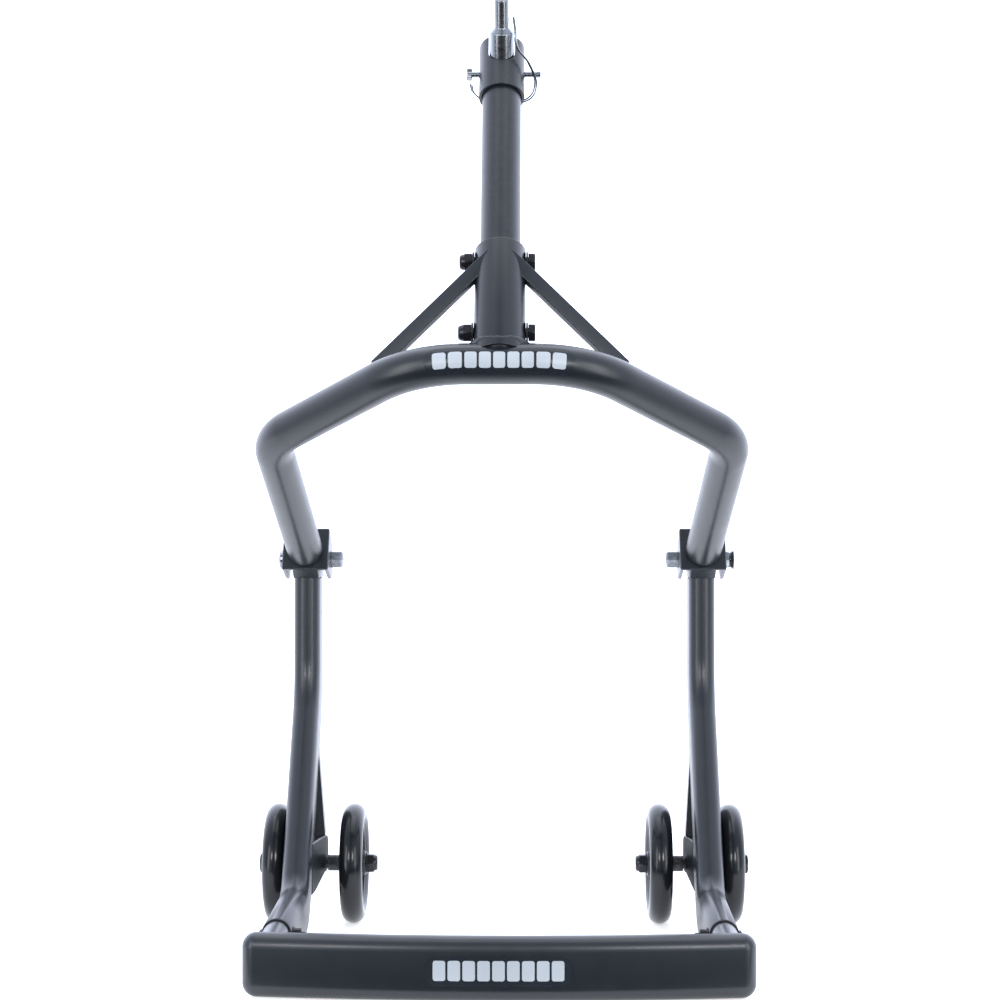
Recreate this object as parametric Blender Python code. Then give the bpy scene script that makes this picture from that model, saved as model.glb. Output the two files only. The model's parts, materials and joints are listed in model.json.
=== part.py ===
"""Head-lift paddock stand: a wheeled floor frame with a low U handle, a bent arch that folds on the
two upright arms, and a sleeved lift post whose swinging pin goes up into a steering stem.

Lengths below are millimetres; a mesh is scaled to metres as it is made. X is across the stand, Y runs
from the handle to the back and Z is up from the floor. Y is measured from the axle line, and
AXLE_Y then centres the whole stand on Y = 0.
"""

import math

import bmesh
import bpy
from mathutils import Matrix, Vector

MM = 0.001
GAP = 0.3
AXLE_Y = 143.4
ROUND = 24
FINE = 12

# Floor frame: flat-oval side tubes with the stubs of the handle bar plugged into their front ends.
TUBE_WIDTH, TUBE_HEIGHT, TUBE_WALL = 28.0, 56.0, 1.5
RING_X, RING_Y, COLLAR_LENGTH = 208.5, -276.0, 2.0
HEEL_X, HEEL_Y, HEEL_RADIUS = 210.5, -93.0, 60.0
KNEE_Y, KNEE_Z, KNEE_RADIUS = 59.0, 238.5, 120.0
ARM_X, ARM_Y = 212.0, 60.0
HANDLE_THICK, HANDLE_HEIGHT, HANDLE_WALL = 26.0, 58.0, 1.6
SPIGOT_WIDTH, SPIGOT_HEIGHT = 24.2, 52.2
HANDLE_FRONT_Y, HANDLE_END_X, HANDLE_END_Y = -361.0, 231.0, -345.5
BOW_STEPS, END_ROUNDING = 14, 13.0
SPIGOT_START_Y, SPIGOT_END_Y = -350.0, -240.0
HANDLE_BOLT_Y, HANDLE_BOLT_Z, HANDLE_BOLT_RADIUS = -260.0, 37.0, 4.0
DECAL_REACH, DECAL_HEIGHT = 65.0, 28.0

# Wheels, two on each axle bolt, with the bracket of the side tube between them. The stand isn't quite
# symmetric, so each side has its own inner wheel, outer wheel and inner bracket face, as X.
SET_X = {-1: (157.8, 237.6, 185.6), 1: (163.5, 237.6, 189.0)}
WHEEL_RADIUS, WHEEL_WIDTH = 62.5, 24.0
TYRE_BORE, CORE_RIM = 46.0, 41.0
HUB_RADIUS, HUB_BORE = 13.0, 6.3
TYRE_CROWN = 11.0
HUB_HALF = 12.5
SPOKES, RIM_STEPS = 5, 32
AXLE_Z, AXLE_RADIUS, AXLE_HEX, AXLE_HEAD, AXLE_NUT = 62.5, 6.0, 11.0, 6.4, 12.0
SPACER_RADIUS = 8.5
BRACKET_OUTER_X, BRACKET_TAPER = 214.0, 0.15
BRACKET_TOP, LUG_RADIUS = 92.0, 10.0
STRUT_WIDTH, STRUT_DEPTH, STRUT_WALL = 16.0, 24.0, 1.5

# Fold pivot on top of the arms. The arch plane rises towards the handle at ARCH_PITCH.
FOLD_Z = 381.0
ARCH_PITCH = math.radians(27.6)
ARCH_DROP = 6.25
BLOCK_HALF, BLOCK_RADIUS, BLOCK_REACH, BLOCK_BASE = 13.8, 28.0, 30.7, 19.0
BUSH_RADIUS, BUSH_HALF = 8.4, 20.7
CHANNEL_HALF, CHANNEL_WALL, WEB_INNER, WEB_OUTER = 24.5, 3.5, 31.0, 35.0
WEB_ABOVE, WEB_BELOW, FLANGE_RADIUS = 20.5, 28.5, 21.0
PIVOT_RADIUS, PIVOT_HEX, PIVOT_NUT = 5.0, 9.8, 12.5

# Arch tube and the sleeve, post and socket on it. The post leans back by POST_LEAN.
ARCH_RADIUS, ARCH_WALL = 19.0, 2.0
ARCH_FOOT_X, FOOT_GAP, ARCH_DECAL_TURN = 212.5, 1.2, 38.0
ARCH_ELBOW, ARCH_ELBOW_RADIUS = (223.5, 279.0), 65.0
ARCH_SHOULDER, ARCH_SHOULDER_RADIUS = (79.0, 421.0), 120.0
POST_LEAN = math.radians(30.0)
SLEEVE_RADIUS, SLEEVE_BORE, SLEEVE_BOTTOM, SLEEVE_TOP = 24.0, 19.6, 6.5, 126.0
POST_RADIUS, POST_BORE, POST_BOTTOM, POST_TOP = 19.0, 16.4, 21.0, 321.0
CLAMP_HEIGHTS, CLAMP_RADIUS, POST_TRAVEL = (34.0, 114.0), 5.0, 40.0
CLAMP_HEX, CLAMP_HEAD, CLAMP_NUT, CLAMP_WASHER = 9.0, 6.4, 12.0, 1.8
SOCKET_RADIUS, SOCKET_BORE, SOCKET_BOTTOM, SOCKET_TOP = 22.5, 19.3, 312.0, 375.0
NOTCH_HALF, NOTCH_HEIGHT = 14.4, 341.4
GUSSET_WIDTH, GUSSET_THICK, GUSSET_AHEAD, GUSSET_END_X = 14.0, 8.0, 15.0, 15.5
GUSSET_TOP, GUSSET_FOOT = (8.0, 108.0), (122.0, 14.8)

# Stem pin on its cross pin, tipped forward on the lip of the notch.
PIN_HEIGHT, PIN_TILT = 342.0, math.radians(22.0)
PIN_BASE, PIN_NOSE, PIN_SHOULDER, PIN_END = 12.0, 7.25, 41.0, 74.2
CROSS_RADIUS, CROSS_HEAD_X, CROSS_TIP_X = 3.0, -35.0, 38.5
WIRE_RADIUS, WIRE_SPREAD = 0.85, 2.2
FLATS_UP = Vector((0.0, 0.5, math.sqrt(0.75)))


def at(x, y, z):
    """A point from the middle of the axle line on the floor."""
    return Vector((x, y + AXLE_Y, z))


def arch_point(x, along, drop=ARCH_DROP):
    """A point of the arch: along runs from the fold axis up the arch plane, drop runs square below it."""
    y = ARM_Y - along * math.cos(ARCH_PITCH) - drop * math.sin(ARCH_PITCH)
    z = FOLD_Z + along * math.sin(ARCH_PITCH) - drop * math.cos(ARCH_PITCH)
    return at(x, y, z)


ARCH_CENTRE = arch_point(0.0, ARCH_SHOULDER[1])
UP_ARCH = (arch_point(0, 1, 0) - arch_point(0, 0, 0)).normalized()
UP_POST = Vector((0.0, math.sin(POST_LEAN), math.cos(POST_LEAN)))
AHEAD_OF_POST = Vector((0.0, -math.cos(POST_LEAN), math.sin(POST_LEAN)))
ACROSS = Vector((1.0, 0.0, 0.0))


def post_point(x, ahead, height):
    """A point by the post: height runs up its axis from the arch, ahead runs square to it."""
    return ARCH_CENTRE + ACROSS * x + AHEAD_OF_POST * ahead + UP_POST * height


def material(name, colour, roughness, metallic):
    made = bpy.data.materials.new(name)
    made.use_nodes = True
    shader = made.node_tree.nodes["Principled BSDF"]
    shader.inputs["Base Color"].default_value = (*colour, 1.0)
    shader.inputs["Roughness"].default_value = roughness
    shader.inputs["Metallic"].default_value = metallic
    return made


def circle(radius, count=ROUND):
    """Section points of a round bar or tube."""
    turns = [2 * math.pi * k / count for k in range(count)]
    return [(radius * math.cos(turn), radius * math.sin(turn)) for turn in turns]


def oval(width, height, steps=6):
    """Section points of a flat-oval tube: two half circles joined by flats of equal length."""
    radius, flat = width / 2, (height - width) / 2
    top = [math.pi * k / steps for k in range(steps + 1)]
    upper = [(radius * math.cos(a), flat + radius * math.sin(a)) for a in top]
    lower = [(-a, -b) for a, b in upper]
    return upper + lower


def box(width, height):
    """Section points of a rectangular bar."""
    a, b = width / 2, height / 2
    return [(a, -b), (a, b), (-a, b), (-a, -b)]


def rounded_path(corners, radii, steps):
    """The polyline through the corners with each inner corner replaced by an arc."""
    points = [corners[0]]
    for before, corner, after, radius in zip(corners, corners[1:], corners[2:], radii):
        back = (before - corner).normalized()
        ahead = (after - corner).normalized()
        half = back.angle(ahead) / 2
        centre = corner + (back + ahead).normalized() * (radius / math.sin(half))
        start = corner + back * (radius / math.tan(half)) - centre
        axis = back.cross(ahead).normalized() * -1
        for k in range(steps + 1):
            turn = Matrix.Rotation((math.pi - 2 * half) * k / steps, 3, axis)
            points.append(centre + turn @ start)
    points.append(corners[-1])
    return points


def placed(section, centre, along, side):
    """The section's points set square to a direction, with its first coordinate on side."""
    first = (side - along * side.dot(along)).normalized()
    second = along.cross(first)
    return [centre + first * a + second * b for a, b in section]


def rings_on(path, sections, side):
    """One ring of points for each point of a path."""
    rings = []
    for k, point in enumerate(path):
        before = path[max(k - 1, 0)]
        after = path[min(k + 1, len(path) - 1)]
        rings.append(placed(sections[k], point, (after - before).normalized(), side))
    return rings


def skin(mesh, one, other):
    """Faces between two rings. One ring may have a whole even multiple of the other's points."""
    if len(one) > len(other):
        one, other = other, one
    count, ratio = len(one), len(other) // len(one)
    if ratio == 1:
        for k in range(count):
            after = (k + 1) % count
            mesh.faces.new((one[k], one[after], other[after], other[k]))
        return
    for k in range(count):
        for step in range(-ratio // 2, ratio // 2):
            near = other[(k * ratio + step) % len(other)]
            far = other[(k * ratio + step + 1) % len(other)]
            mesh.faces.new((one[k], far, near))
        middle = other[(k * ratio + ratio // 2) % len(other)]
        mesh.faces.new((one[k], one[(k + 1) % count], middle))


def loft(rings, hollow=False):
    """A mesh through rings of points: capped at both ends or, if hollow, closed from last to first."""
    mesh = bmesh.new()
    loops = [[mesh.verts.new(point) for point in ring] for ring in rings]
    for one, other in zip(loops, loops[1:]):
        skin(mesh, one, other)
    if hollow:
        skin(mesh, loops[-1], loops[0])
    else:
        mesh.faces.new(loops[0])
        mesh.faces.new(loops[-1])
    bmesh.ops.recalc_face_normals(mesh, faces=mesh.faces)
    return mesh


def tube(path, outer, inner, side):
    """A hollow tube along a path. Outer and inner are sections, or lists with one for each point."""
    outers = outer if isinstance(outer[0], list) else [outer] * len(path)
    inners = inner if isinstance(inner[0], list) else [inner] * len(path)
    return loft(rings_on(path, outers, side) + rings_on(path, inners, side)[::-1], hollow=True)


def bar(path, section, side):
    return loft(rings_on(path, [section] * len(path), side))


def turned(origin, axis, profile, side=None, hollow=False):
    """A turned piece: each profile entry is a distance along the axis, a radius and a point count."""
    side = side or (Vector((0, 0, 1)) if abs(axis.z) < 0.9 else ACROSS)
    rings = [
        placed(circle(radius, count), origin + axis * along, axis, side)
        for along, radius, count in profile
    ]
    return loft(rings, hollow)


def prism(outline, low_x, high_x):
    """A plate square to X: the outline is a list of points whose X is replaced."""
    rings = [[Vector((x, point.y, point.z)) for point in outline] for x in (low_x, high_x)]
    return loft(rings)


def arc(centre_point, radius, start, end, steps):
    """Points of an arc. centre_point(a, b) gives the point a and b away from the arc's centre."""
    turns = [start + (end - start) * k / steps for k in range(steps + 1)]
    return [centre_point(radius * math.cos(turn), radius * math.sin(turn)) for turn in turns]


def add(name, mesh, finish, pivot=None):
    """Makes the object, in metres, with its origin on the pivot when it has one."""
    origin = pivot or Vector((0.0, 0.0, 0.0))
    bmesh.ops.translate(mesh, verts=mesh.verts, vec=-origin)
    bmesh.ops.scale(mesh, verts=mesh.verts, vec=(MM, MM, MM))
    data = bpy.data.meshes.new(name)
    mesh.to_mesh(data)
    mesh.free()
    data.shade_smooth()
    data.set_sharp_from_angle(angle=math.radians(35))
    made = bpy.data.objects.new(name, data)
    made.location = origin * MM
    bpy.context.scene.collection.objects.link(made)
    if finish:
        data.materials.append(finish)
    return made


def cut(piece, mesh):
    """Takes the mesh out of the piece."""
    cutter = add(f"cutter.{len(bpy.data.objects):03d}", mesh, None)
    cutter.hide_render = True
    cutter.display_type = "WIRE"
    modifier = piece.modifiers.new("Cut", "BOOLEAN")
    modifier.operation = "DIFFERENCE"
    modifier.solver = "EXACT"
    modifier.object = cutter


def chamfer(piece, width):
    modifier = piece.modifiers.new("Edges", "BEVEL")
    modifier.width = width * MM
    modifier.segments = 1
    modifier.limit_method = "ANGLE"
    modifier.angle_limit = math.radians(40)


def bolt(name, origin, axis, length, radius, hex_radius, head, finish, pivot=None):
    """A hexagon bolt: its shank starts at origin and its head stands behind it, one flat up."""
    profile = [
        (-head, hex_radius * 0.88, 6),
        (-head * 0.8, hex_radius, 6),
        (0.0, hex_radius, 6),
        (0.0, radius, FINE),
        (length - 1.0, radius, FINE),
        (length, radius - 1.0, FINE),
    ]
    return add(name, turned(origin, axis, profile, FLATS_UP), finish, pivot)


def nut(name, origin, axis, height, bore, hex_radius, finish, flange=0.0):
    """A hexagon nut, on a round flange when it has one, standing on origin."""
    inner = bore + GAP
    profile = [(height, inner, FINE), (0.0, inner, FINE)]
    if flange:
        profile += [(0.0, flange, ROUND), (1.5, flange, ROUND), (1.5, hex_radius, 6)]
    else:
        profile += [(0.0, hex_radius, 6)]
    profile += [(height * 0.85, hex_radius, 6), (height, hex_radius * 0.9, 6)]
    return add(name, turned(origin, axis, profile, FLATS_UP, hollow=True), finish)


def washer(name, origin, axis, thick, outer, inner, finish):
    profile = [(0.0, outer, ROUND), (thick, outer, ROUND), (thick, inner, FINE), (0.0, inner, FINE)]
    return add(name, turned(origin, axis, profile, hollow=True), finish)


def rod(start, end, radius, count=ROUND):
    """A plain round bar, used as a bore cutter and as a clearance."""
    axis = (end - start).normalized()
    length = (end - start).length
    return turned(start, axis, [(0.0, radius, count), (length, radius, count)])


def side_path(sign):
    """Centreline of a side tube: along the floor, up the leaning lower arm and up the upright arm."""
    corners = [
        at(sign * RING_X, RING_Y + COLLAR_LENGTH + GAP, TUBE_HEIGHT / 2),
        at(sign * HEEL_X, HEEL_Y, TUBE_HEIGHT / 2),
        at(sign * ARM_X, KNEE_Y, KNEE_Z),
        at(sign * ARM_X, ARM_Y, FOLD_Z - BLOCK_BASE - GAP),
    ]
    return rounded_path(corners, (HEEL_RADIUS, KNEE_RADIUS), 7)


def arch_path():
    """Centreline of the arch, from the left foot round to the right one."""
    elbow_x, elbow_up = ARCH_ELBOW
    shoulder_x, shoulder_up = ARCH_SHOULDER
    corners = [
        arch_point(-ARCH_FOOT_X, WEB_OUTER + FOOT_GAP),
        arch_point(-elbow_x, elbow_up),
        arch_point(-shoulder_x, shoulder_up),
        arch_point(shoulder_x, shoulder_up),
        arch_point(elbow_x, elbow_up),
        arch_point(ARCH_FOOT_X, WEB_OUTER + FOOT_GAP),
    ]
    radii = (ARCH_ELBOW_RADIUS, ARCH_SHOULDER_RADIUS, ARCH_SHOULDER_RADIUS, ARCH_ELBOW_RADIUS)
    return rounded_path(corners, radii, 6)


def handle_path(reach):
    """Centreline of the bowed handle bar between -reach and reach across."""
    bow = (HANDLE_END_Y - HANDLE_FRONT_Y) / HANDLE_END_X**2
    points = []
    for k in range(BOW_STEPS + 1):
        x = reach * (2 * k / BOW_STEPS - 1)
        points.append(at(x, HANDLE_FRONT_Y + bow * x * x, HANDLE_HEIGHT / 2))
    return points


def side_tube(name, sign, finish):
    path = side_path(sign)
    inner = oval(TUBE_WIDTH - 2 * TUBE_WALL, TUBE_HEIGHT - 2 * TUBE_WALL)
    piece = add(name, tube(path, oval(TUBE_WIDTH, TUBE_HEIGHT), inner, ACROSS), finish)
    low, high = sorted((sign * (RING_X - 40), sign * (RING_X + 40)))
    bore = rod(
        at(low, HANDLE_BOLT_Y, HANDLE_BOLT_Z), at(high, HANDLE_BOLT_Y, HANDLE_BOLT_Z),
        HANDLE_BOLT_RADIUS + GAP,
    )
    cut(piece, bore)
    return piece


def collar(name, sign, finish):
    ends = [at(sign * RING_X, RING_Y + shift, TUBE_HEIGHT / 2) for shift in (0.0, COLLAR_LENGTH)]
    inner = oval(SPIGOT_WIDTH + 2 * GAP, SPIGOT_HEIGHT + 2 * GAP + 1.0)
    return add(name, tube(ends, oval(TUBE_WIDTH, TUBE_HEIGHT), inner, ACROSS), finish)


def handle_solid(shrink):
    """The bar with domed ends, made smaller all round by shrink."""
    dome = HANDLE_THICK / 2
    path = handle_path(HANDLE_END_X - dome)
    widths = [1.0] * len(path)
    start, end = path[0], path[-1]
    for share in (0.4, 0.7, 0.9):
        path.insert(0, start + (start - path[-1]).normalized() * dome * share)
        path.append(end + (end - start).normalized() * dome * share)
        widths = [math.sqrt(1 - share**2)] + widths + [math.sqrt(1 - share**2)]
    sections = []
    for wide in widths:
        tall = HANDLE_HEIGHT - 2 * END_ROUNDING * (1 - wide)
        sections.append(oval(HANDLE_THICK * wide - 2 * shrink, tall - 2 * shrink))
    ends = slice(1, -1) if shrink else slice(None)
    return loft(rings_on_level(path[ends], sections[ends]))


def handle_bar(finish):
    """Flat-oval bar with domed ends and two stubs welded on its back, which plug into the side tubes."""
    piece = add("handle_bar", handle_solid(0.0), finish)
    stub = oval(SPIGOT_WIDTH, SPIGOT_HEIGHT)
    bore = oval(SPIGOT_WIDTH - 2 * HANDLE_WALL, SPIGOT_HEIGHT - 2 * HANDLE_WALL)
    middle = TUBE_HEIGHT / 2
    for sign in (-1, 1):
        x = sign * RING_X
        join(piece, bar([at(x, SPIGOT_START_Y, middle), at(x, SPIGOT_END_Y, middle)], stub, ACROSS))
    cut(piece, handle_solid(HANDLE_WALL))
    for sign in (-1, 1):
        x = sign * RING_X
        ends = [at(x, SPIGOT_START_Y, middle), at(x, SPIGOT_END_Y + 5, middle)]
        cut(piece, bar(ends, bore, ACROSS))
        low, high = sorted((sign * (RING_X - 25), sign * (RING_X + 25)))
        start = at(low, HANDLE_BOLT_Y, HANDLE_BOLT_Z)
        end = at(high, HANDLE_BOLT_Y, HANDLE_BOLT_Z)
        cut(piece, rod(start, end, HANDLE_BOLT_RADIUS + GAP))
    return piece


def rings_on_level(path, sections):
    """Rings of a bar bent in a level plane, with the long side of each section upright."""
    rings = []
    for k, point in enumerate(path):
        along = (path[min(k + 1, len(path) - 1)] - path[max(k - 1, 0)]).normalized()
        across = Vector((-along.y, along.x, 0.0))
        rings.append([point + across * a + Vector((0, 0, b)) for a, b in sections[k]])
    return rings


def strip(path, thick, height, middle, shift):
    """A thin upright band in front of a level path."""
    rings = []
    for k, point in enumerate(path):
        along = (path[min(k + 1, len(path) - 1)] - path[max(k - 1, 0)]).normalized()
        ahead = Vector((along.y, -along.x, 0.0))
        ahead = ahead if ahead.y < 0 else -ahead
        corners = ((0, -1), (0, 1), (1, 1), (1, -1))
        rings.append([
            point + ahead * (shift + thick * a) + Vector((0, 0, middle - point.z + b * height / 2))
            for a, b in corners
        ])
    return loft(rings)


def handle_decal(finish):
    """Plain name plate stuck on the flat front of the handle bar."""
    mesh = strip(handle_path(DECAL_REACH), 0.5, DECAL_HEIGHT, HANDLE_HEIGHT / 2, HANDLE_THICK / 2 + GAP)
    return add("handle_decal", mesh, finish)


def handle_bolt(side, sign, finish):
    """Cross bolt that holds a handle end in its side tube, with its nut on the inner side."""
    outer = at(sign * (RING_X + TUBE_WIDTH / 2 + GAP), HANDLE_BOLT_Y, HANDLE_BOLT_Z)
    inner = at(sign * (RING_X - TUBE_WIDTH / 2 - GAP), HANDLE_BOLT_Y, HANDLE_BOLT_Z)
    inwards = ACROSS * -sign
    bolt(f"{side}_handle_bolt", outer, inwards, 41.0, HANDLE_BOLT_RADIUS, 6.5, 3.4, finish)
    nut(f"{side}_handle_nut", inner, inwards, 8.0, HANDLE_BOLT_RADIUS, 7.5, finish, flange=8.6)


def axle_bracket(name, sign, finish):
    """Lug from the heel of the side tube back to the axle, widening towards the axle bolt."""
    lug, inner_face = LUG_RADIUS, SET_X[sign][2]
    outline = [at(0, -60, 38), at(0, -46, 40)]
    outline += arc(lambda a, b: at(0, a, AXLE_Z + b), lug, -math.pi * 0.62, 0.0, 7)
    outline += arc(lambda a, b: at(0, lug - 8 + a, BRACKET_TOP - 8 + b), 8.0, 0.0, math.pi / 2, 4)
    outline += [at(0, -60, BRACKET_TOP)]
    rings = []
    for face in (0.0, 1.0):
        ring = []
        for point in outline:
            inner = inner_face + GAP + BRACKET_TAPER * (lug + AXLE_Y - point.y)
            x = inner + (BRACKET_OUTER_X - inner) * face
            ring.append(Vector((sign * x, point.y, point.z)))
        rings.append(ring)
    piece = add(name, loft(rings), finish)
    chamfer(piece, 1.2)
    clearance = oval(TUBE_WIDTH + 2 * GAP, TUBE_HEIGHT + 2 * GAP)
    cut(piece, bar(side_path(sign), clearance, ACROSS))
    low, high = sorted((sign * (inner_face - 10), sign * (BRACKET_OUTER_X + 10)))
    cut(piece, rod(at(low, 0, AXLE_Z), at(high, 0, AXLE_Z), AXLE_RADIUS + GAP))
    return piece


def brace_strut(name, sign, finish):
    """Rectangular tube that props the axle bracket against the back of the lower arm."""
    start = at(sign * (SET_X[sign][2] + 1.5 + STRUT_WIDTH / 2), 1, 80)
    end = at(sign * 208, 43, 190)
    inner = box(STRUT_WIDTH - 2 * STRUT_WALL, STRUT_DEPTH - 2 * STRUT_WALL)
    piece = add(name, tube([start, end], box(STRUT_WIDTH, STRUT_DEPTH), inner, ACROSS), finish)
    clearance = oval(TUBE_WIDTH + 2 * GAP, TUBE_HEIGHT + 2 * GAP)
    cut(piece, bar(side_path(sign), clearance, ACROSS))
    top = BRACKET_TOP + GAP
    floor = [at(0, -80, 40), at(0, 60, 40), at(0, 60, top), at(0, -80, top)]
    low, high = sorted((sign * 160, sign * 240))
    cut(piece, prism(floor, low, high))
    return piece


def wheel(name, sign, x, tyre_finish, core_finish):
    """Solid-tyre wheel: the tyre, and the five-spoke core with its hub."""
    centre = at(sign * x, 0.0, AXLE_Z)
    half, crown = WHEEL_WIDTH / 2, TYRE_CROWN
    outside = [
        (half * math.sin(turn), WHEEL_RADIUS - crown + crown * math.cos(turn), RIM_STEPS)
        for turn in [math.radians(degrees) for degrees in (-90, -60, -30, 0, 30, 60, 90)]
    ]
    edge = half * 0.72
    profile = [(-edge, TYRE_BORE, RIM_STEPS)] + outside + [(edge, TYRE_BORE, RIM_STEPS)]
    add(f"{name}_tyre", turned(centre, ACROSS, profile, hollow=True), tyre_finish, centre)
    rim = TYRE_BORE - GAP
    ring = [(along, radius, RIM_STEPS) for along, radius in ((-8, CORE_RIM), (-8.5, rim), (8.5, rim), (8, CORE_RIM))]
    core = add(f"{name}_core", turned(centre, ACROSS, ring, hollow=True), core_finish, centre)
    hub = [(-HUB_HALF, HUB_BORE, ROUND), (-HUB_HALF, HUB_RADIUS, ROUND)]
    hub += [(HUB_HALF, HUB_RADIUS, ROUND), (HUB_HALF, HUB_BORE, ROUND)]
    join(core, turned(centre, ACROSS, hub, hollow=True))
    for k in range(SPOKES):
        turn = 2 * math.pi * k / SPOKES
        out = Vector((0.0, math.sin(turn), math.cos(turn)))
        spoke = bar([centre + out * 10, centre + out * (CORE_RIM + 2)], box(11.0, 7.0), ACROSS)
        join(core, spoke)
    return core


def join(piece, mesh):
    """Adds the mesh to the piece as one body."""
    cutter = add(f"joined.{len(bpy.data.objects):03d}", mesh, None)
    cutter.hide_render = True
    cutter.display_type = "WIRE"
    modifier = piece.modifiers.new("Join", "BOOLEAN")
    modifier.operation = "UNION"
    modifier.solver = "EXACT"
    modifier.object = cutter


def axle(side, sign, finish):
    """Axle bolt through both wheels and the bracket, with its nut at the inner end and two spacers."""
    inner_x, outer_x, inner_face = SET_X[sign]
    hub_out, hub_in = outer_x + HUB_HALF, inner_x - HUB_HALF
    inwards = ACROSS * -sign
    outer = at(sign * (hub_out + GAP), 0.0, AXLE_Z)
    length = hub_out - hub_in + 2 * GAP + AXLE_NUT - 0.5
    bolt(f"{side}_axle_bolt", outer, inwards, length, AXLE_RADIUS, AXLE_HEX, AXLE_HEAD, finish)
    inner = at(sign * (hub_in - GAP), 0.0, AXLE_Z)
    nut(f"{side}_axle_nut", inner, inwards, AXLE_NUT, AXLE_RADIUS, AXLE_HEX, finish)
    gaps = (
        ("inner", inner_x + HUB_HALF, inner_face),
        ("outer", BRACKET_OUTER_X, outer_x - HUB_HALF),
    )
    for place, low, high in gaps:
        start = at(sign * (low + GAP), 0.0, AXLE_Z)
        thick = high - low - 2 * GAP
        washer(
            f"{side}_{place}_spacer", start, ACROSS * sign, thick,
            SPACER_RADIUS, AXLE_RADIUS + GAP, finish,
        )


def pivot_block(name, sign, finish):
    """Block on top of the arm, with a cross bush between the flanges and the stop face for the arch."""
    outline = [arch_point(0, BLOCK_REACH, drop) for drop in (0.0, 27.0)]
    base_z = FOLD_Z - BLOCK_BASE
    outline += [at(0, ARM_Y - BLOCK_RADIUS, base_z), at(0, ARM_Y + BLOCK_RADIUS, base_z)]
    start, end = 0.0, math.pi - ARCH_PITCH
    outline += arc(lambda a, b: at(0, ARM_Y + a, FOLD_Z + b), BLOCK_RADIUS, start, end, 12)
    middle = sign * ARM_X
    piece = add(name, prism(outline, middle - BLOCK_HALF, middle + BLOCK_HALF), finish)
    chamfer(piece, 0.8)
    fold = at(middle, ARM_Y, FOLD_Z)
    join(piece, rod(fold - ACROSS * BUSH_HALF, fold + ACROSS * BUSH_HALF, BUSH_RADIUS))
    cut(piece, rod(fold - ACROSS * 40, fold + ACROSS * 40, PIVOT_RADIUS + GAP))
    return piece


def pivot_bracket(name, sign, finish, pivot):
    """Channel on the foot of the arch: a web with two rounded flanges around the pivot block."""
    corners = ((WEB_OUTER, -WEB_ABOVE), (WEB_OUTER, WEB_BELOW))
    outline = [arch_point(0, along, drop) for along, drop in corners]
    turns = []
    for along, drop in corners:
        reach = math.acos(FLANGE_RADIUS / math.hypot(along, drop))
        turns.append(math.atan2(drop, along) + math.copysign(reach, drop))
    outline += arc(
        lambda a, b: arch_point(0, a, b), FLANGE_RADIUS, turns[1], turns[0] + 2 * math.pi, 14
    )
    middle = sign * ARM_X
    piece = add(name, prism(outline, middle - CHANNEL_HALF, middle + CHANNEL_HALF), finish, pivot)
    chamfer(piece, 1.0)
    inside = [
        arch_point(0, along, drop)
        for along, drop in ((WEB_INNER, -60), (WEB_INNER, 60), (-60, 60), (-60, -60))
    ]
    inner = CHANNEL_HALF - CHANNEL_WALL
    cut(piece, prism(inside, middle - inner, middle + inner))
    fold = at(middle, ARM_Y, FOLD_Z)
    cut(piece, rod(fold - ACROSS * 40, fold + ACROSS * 40, PIVOT_RADIUS + GAP))
    return piece


def pivot_bolts(zinc, pivot):
    """Fold bolts. The left head lies flat on its flange; the right one stands on a spacer nut."""
    fold = at(0, ARM_Y, FOLD_Z)
    face = CHANNEL_HALF + GAP
    shank = 2 * face + PIVOT_NUT - 0.5
    left = fold - ACROSS * (ARM_X + face)
    flat_head = [
        (-6.6, 8.8, ROUND), (-5.0, 10.5, ROUND), (0.0, 10.5, ROUND), (0.0, PIVOT_RADIUS, ROUND),
        (shank - 1, PIVOT_RADIUS, ROUND), (shank, PIVOT_RADIUS - 1, ROUND),
    ]
    add("left_pivot_bolt", turned(left, ACROSS, flat_head), zinc, pivot)
    left_inner = fold - ACROSS * (ARM_X - face)
    nut("left_pivot_nut", left_inner, ACROSS, PIVOT_NUT, PIVOT_RADIUS, PIVOT_HEX, zinc)
    right = fold + ACROSS * (ARM_X + face)
    spacer = 6.2
    nut("right_pivot_spacer", right, ACROSS, spacer, PIVOT_RADIUS, PIVOT_HEX, zinc)
    shank += spacer + GAP
    cone_head = [
        (-4.6, 10.4, ROUND), (-3.6, 11.3, ROUND), (0.0, 8.0, ROUND), (0.0, PIVOT_RADIUS, ROUND),
        (shank - 1, PIVOT_RADIUS, ROUND), (shank, PIVOT_RADIUS - 1, ROUND),
    ]
    stand_off = right + ACROSS * (spacer + GAP)
    add("right_pivot_bolt", turned(stand_off, -ACROSS, cone_head), zinc, pivot)
    right_inner = fold + ACROSS * (ARM_X - face)
    nut("right_pivot_nut", right_inner, -ACROSS, PIVOT_NUT, PIVOT_RADIUS, PIVOT_HEX, zinc)


def arch_tube(finish, pivot):
    """Round tube bent in one plane."""
    inner = circle(ARCH_RADIUS - ARCH_WALL, ROUND // 2)
    side = UP_ARCH.cross(ACROSS)
    return add("arch_tube", tube(arch_path(), circle(ARCH_RADIUS), inner, side), finish, pivot)


def arch_clearance():
    """The arch grown by the gap, to cope what is welded on it."""
    return bar(arch_path(), circle(ARCH_RADIUS + GAP), UP_ARCH.cross(ACROSS))


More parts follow.
